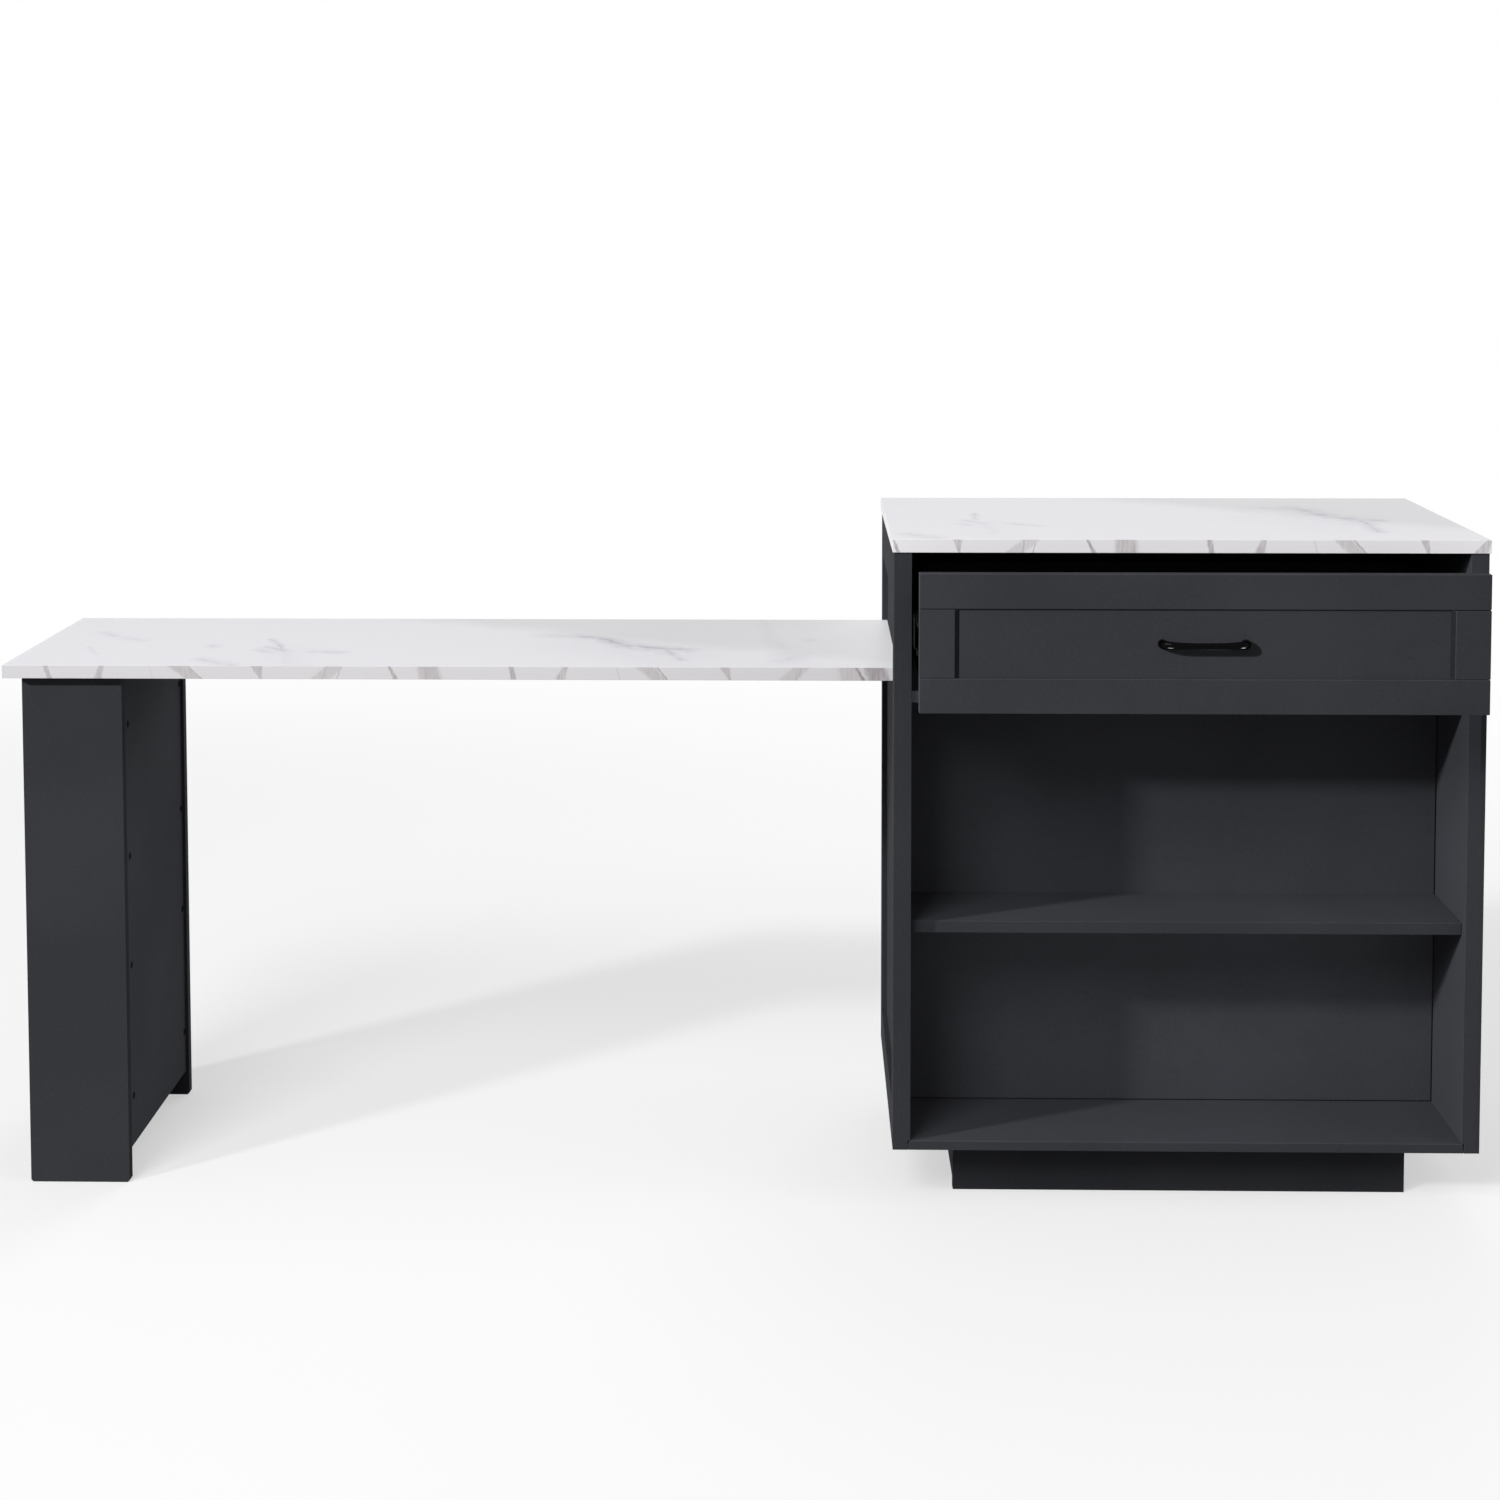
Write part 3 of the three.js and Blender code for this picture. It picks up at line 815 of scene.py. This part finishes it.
# Where the heads are, in mm. Cam caps are on the leg's webs, so far in from the web's front or rear edge, and
# the last one has its own inset and height. Hinge screws are so far in from the outer edge and from each end.
# Shelf pins are under the cupboard's shelf. The pull's screws are behind the drawer's front board, in line
# with its feet
fastenerLook = {
    "capFrontInset": 28,
    "capRearInset": 8,
    "capFrontHeights": (108, 296, 452, 640),
    "capRearHeights": (101, 293, 448, 640),
    "topCap": (150, 700),
    "hingeScrewInset": 9.5,
    "hingeLeafDepth": 1.5,
    "hingeScrewFromEnd": 8,
    "pinInset": 40,
    "pinDrop": 2.5,
    "pullScrewSpread": 54,
}


def addCamCaps(side, outward):
    look = fastenerLook
    low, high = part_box(f"leg_{side}_web")
    x = high.x if side == "inner" else low.x
    front, rear = low.y + look["capFrontInset"] * mm, high.y - look["capRearInset"] * mm
    spots = [(x, front, height * mm) for height in look["capFrontHeights"]]
    spots += [(x, rear, height * mm) for height in look["capRearHeights"]]
    inset, height = look["topCap"]
    spots.append((x, low.y + inset * mm, height * mm))
    addHeads(f"leg_{side}_cam_caps", "camCap", spots, outward, [plain["darkPlastic"]] * 2, "cabinet")


def addHingeScrews(node):
    low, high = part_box(node)
    inset, end = fastenerLook["hingeScrewInset"] * mm, fastenerLook["hingeScrewFromEnd"] * mm
    x = low.x + inset if node.startswith("left") == node.endswith("frame_half") else high.x - inset
    y = low.y + fastenerLook["hingeLeafDepth"] * mm
    spots = [(x, y, low.z + end), (x, y, (low.z + high.z) / 2), (x, y, high.z - end)]
    addHeads(node.replace("_half", "_screws"), "hingeHead", spots, (0, 1, 0),
             [plain["blackSatin"], plain["darkPlastic"]], bodyOfNode[node])


def addShelfPins(hand, x, outward):
    low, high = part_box("cupboard_shelf")
    inset, drop = fastenerLook["pinInset"] * mm, fastenerLook["pinDrop"] * mm
    spots = [(x, y, low.z - drop) for y in (low.y + inset, high.y - inset)]
    addHeads(f"{hand}_shelf_pins", "shelfPin", spots, outward, [plain["boltSteel"]], "cabinet")


def addPullScrews():
    spread, face = fastenerLook["pullScrewSpread"] * mm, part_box("drawer_front_board")[1].y
    spots = [(drawerPull.x + side * spread, face, drawerPull.z) for side in (-1, 1)]
    addHeads("drawer_pull_screws", "pullScrew", spots, (0, 1, 0), [plain["boltSteel"], plain["darkPlastic"]],
             "drawer")


addCamCaps("inner", (1, 0, 0))
addCamCaps("outer", (-1, 0, 0))
for node in hingeNodes:
    addHingeScrews(node)
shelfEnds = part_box("cupboard_shelf")
addShelfPins("left", shelfEnds[0].x, (1, 0, 0))
addShelfPins("right", shelfEnds[1].x, (-1, 0, 0))
addPullScrews()
print("fasteners made")


# Floor, white backdrop, lamps and camera
def addFloor():
    solid = bmesh.new()
    bmesh.ops.create_grid(solid, x_segments=1, y_segments=1, size=studio["floorSize"] / 2)
    mesh = bpy.data.meshes.new("studioFloor")
    solid.to_mesh(mesh)
    solid.free()
    tree = newFinish("studioFloorPaint")
    place = tree.place()
    away = tree.vector("LENGTH", tree.vector("MULTIPLY", place, studio["floorFadeShape"]), (0, 0, 0), "Value")
    fade = away.rising(studio["floorFadeFrom"], studio["floorFadeTo"])
    lightPath = tree.node("ShaderNodeLightPath").socket.node
    camera, glossy = (Wire(tree, lightPath.outputs[name]) for name in ("Is Camera Ray", "Is Glossy Ray"))
    seen = camera.most(glossy)
    pale, dim = ((grey, grey, grey, 1) for grey in (studio["floorColour"], studio["floorBounce"]))
    paint = tree.node("ShaderNodeBsdfDiffuse", None, {"Color": tree.mix(seen, dim, pale)})
    white = tree.node("ShaderNodeEmission", None, {"Color": (1, 1, 1, 1), "Strength": 1.0})
    glow = seen * (fade * (1 - studio["floorGlow"]) + studio["floorGlow"])
    mixed = tree.node("ShaderNodeMixShader", None, {0: glow, 1: paint, 2: white})
    tree.node("ShaderNodeOutputMaterial", None, {"Surface": mixed})
    mesh.materials.append(tree.owner)
    floor = bpy.data.objects.new("studio_floor", mesh)
    bpy.context.scene.collection.objects.link(floor)


def addWorld():
    world = bpy.data.worlds.new("studioWorld")
    bpy.context.scene.world = world
    tree = Tree(world)
    lightPath = tree.node("ShaderNodeLightPath").socket.node
    names = ("Is Camera Ray", "Is Glossy Ray", "Is Transmission Ray")
    camera, glossy, transmission = (Wire(tree, lightPath.outputs[name]) for name in names)
    seen = camera.most(transmission).most(glossy)
    strength = seen * (1 - studio["ambient"]) + studio["ambient"]
    back = tree.node("ShaderNodeBackground", None, {"Color": (1, 1, 1, 1), "Strength": strength})
    tree.node("ShaderNodeOutputWorld", None, {"Surface": back})


# The boards that close the open bays, and the drawer's front
bayBoards = ("bay_back_panel", "bay_shelf", "bottom_board", "right_side_panel")
drawerFronts = ("drawer_front_board", "drawer_top_rail", "drawer_bottom_rail", "drawer_left_stile",
                "drawer_right_stile")


def piecesOf(nodes):
    return [piece for piece in bpy.data.objects if piece.name.removesuffix("_finished") in nodes]


def piecesOn(*bodies):
    return piecesOf({node for node, body in bodyOfNode.items() if body in bodies})


# Pieces that a lamp takes in or leaves out
def linkedGroup(name, pieces, state):
    group = bpy.data.collections.new(name)
    for piece in pieces:
        group.objects.link(piece)
    for row in group.collection_objects:
        row.light_linking.link_state = state
    return group


def placeLamp(name, lamp, direction):
    stand = bpy.data.objects.new(name, lamp)
    stand.rotation_mode = "QUATERNION"
    stand.rotation_quaternion = direction.to_track_quat("-Z", "Y")
    bpy.context.scene.collection.objects.link(stand)
    return stand


def addAreaLamp(name, look, direction):
    lamp = bpy.data.lights.new(name, "AREA")
    lamp.energy = look["power"]
    lamp.size = look["size"]
    if "long" in look:
        lamp.shape = "RECTANGLE"
        lamp.size_y = look["long"]
    stand = placeLamp(name, lamp, direction)
    stand.location = look["at"]
    stand.visible_glossy = not look.get("unseen", False)
    return stand


def addSun(name):
    look = studio[name]
    sun = bpy.data.lights.new(name, "SUN")
    sun.energy = look["strength"]
    sun.angle = math.radians(look["softness"])
    return placeLamp(name, sun, Vector(look["along"]))


# Only the given nodes' pieces are lit by the lamp
def lightOnly(stand, *nodes):
    stand.light_linking.receiver_collection = linkedGroup(stand.name + "Lights", piecesOf(nodes), "INCLUDE")
    return stand


# The given pieces aren't lit by the lamp
def spare(stand, pieces):
    stand.light_linking.receiver_collection = linkedGroup(stand.name + "Lights", pieces, "EXCLUDE")


# The given pieces cast no shadow under the lamp
def passThrough(stand, pieces):
    stand.light_linking.blocker_collection = linkedGroup(stand.name + "Passes", pieces, "EXCLUDE")


def addRoomLamps(fronts):
    pale = piecesOf(("countertop", "leaf_top", "studio_floor"))
    spared = {"frontLamp": fronts, "rightLamp": fronts, "sideLamp": fronts + pale}
    for name, look in studio["lamps"].items():
        stand = addAreaLamp(name, look, Vector(studio["lookAt"]) - Vector(look["at"]))
        if name in spared:
            spare(stand, spared[name])


def addKeys(fronts):
    drawer = piecesOn("drawer", "runner_middles")
    spare(addSun("keySun"), piecesOf(bayBoards + ("plinth_front",)) + fronts)
    lightOnly(addSun("legKey"), "leg_front_board")
    passThrough(lightOnly(addSun("bayKey"), *bayBoards), drawer)
    passThrough(lightOnly(addSun("dividerKey"), "divider_board"), drawer + piecesOf(("left_side_panel",)))
    look = studio["drawerKey"]
    direction = middleOf("drawer_front_board") - Vector(look["at"])
    lightOnly(addAreaLamp("drawerKey", look, direction), *drawerFronts)


def addCards():
    for name, look in studio["pullCards"].items():
        card = lightOnly(addAreaLamp(name, look, drawerPull - Vector(look["at"])), "drawer_pull")
        card.visible_camera = card.visible_diffuse = False
    leafCard = lightOnly(addAreaLamp("leafCard", studio["leafCard"], Vector((0, 0, -1))), "leaf_top")
    leaf = linkedGroup("leafCardBlocked", piecesOf(("leaf_top",)), "INCLUDE")
    leafCard.light_linking.blocker_collection = leaf
    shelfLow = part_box("bay_shelf")[0]
    under = (middleOf("bay_shelf").x, shelfLow.y, shelfLow.z - studio["shelfCard"]["under"])
    shelfCard = addAreaLamp("shelfCard", {**studio["shelfCard"], "at": under}, Vector((0, 1, 0)))
    lightOnly(shelfCard, "bay_back_panel")
    for card in (leafCard, shelfCard):
        card.visible_camera = card.visible_glossy = False


def addLamps():
    fronts = piecesOf(drawerFronts + ("leg_front_board",))
    addRoomLamps(fronts)
    addKeys(fronts)
    addCards()


def addCamera():
    yaw, pitch, roll = (math.radians(cameraView[key]) for key in ("yaw", "pitch", "roll"))
    ahead = Vector((-math.sin(yaw), math.cos(yaw), 0))
    forward = ahead * math.cos(pitch) - Vector((0, 0, math.sin(pitch)))
    level = Vector((math.cos(yaw), math.sin(yaw), 0))
    above = level.cross(forward)
    right = level * math.cos(roll) + above * math.sin(roll)
    up = above * math.cos(roll) - level * math.sin(roll)
    lens = bpy.data.cameras.new("photoCamera")
    lens.sensor_width = cameraView["sensor"]
    lens.lens = cameraView["lens"]
    lens.shift_y = cameraView["shiftY"]
    camera = bpy.data.objects.new("photoCamera", lens)
    camera.rotation_mode = "QUATERNION"
    camera.rotation_quaternion = Matrix((right, up, -forward)).transposed().to_quaternion()
    camera.location = cameraView["at"]
    bpy.context.scene.collection.objects.link(camera)
    bpy.context.scene.camera = camera


addFloor()
addWorld()
addLamps()
addCamera()
bpy.context.scene.view_settings.view_transform = "Standard"
print("studio set")
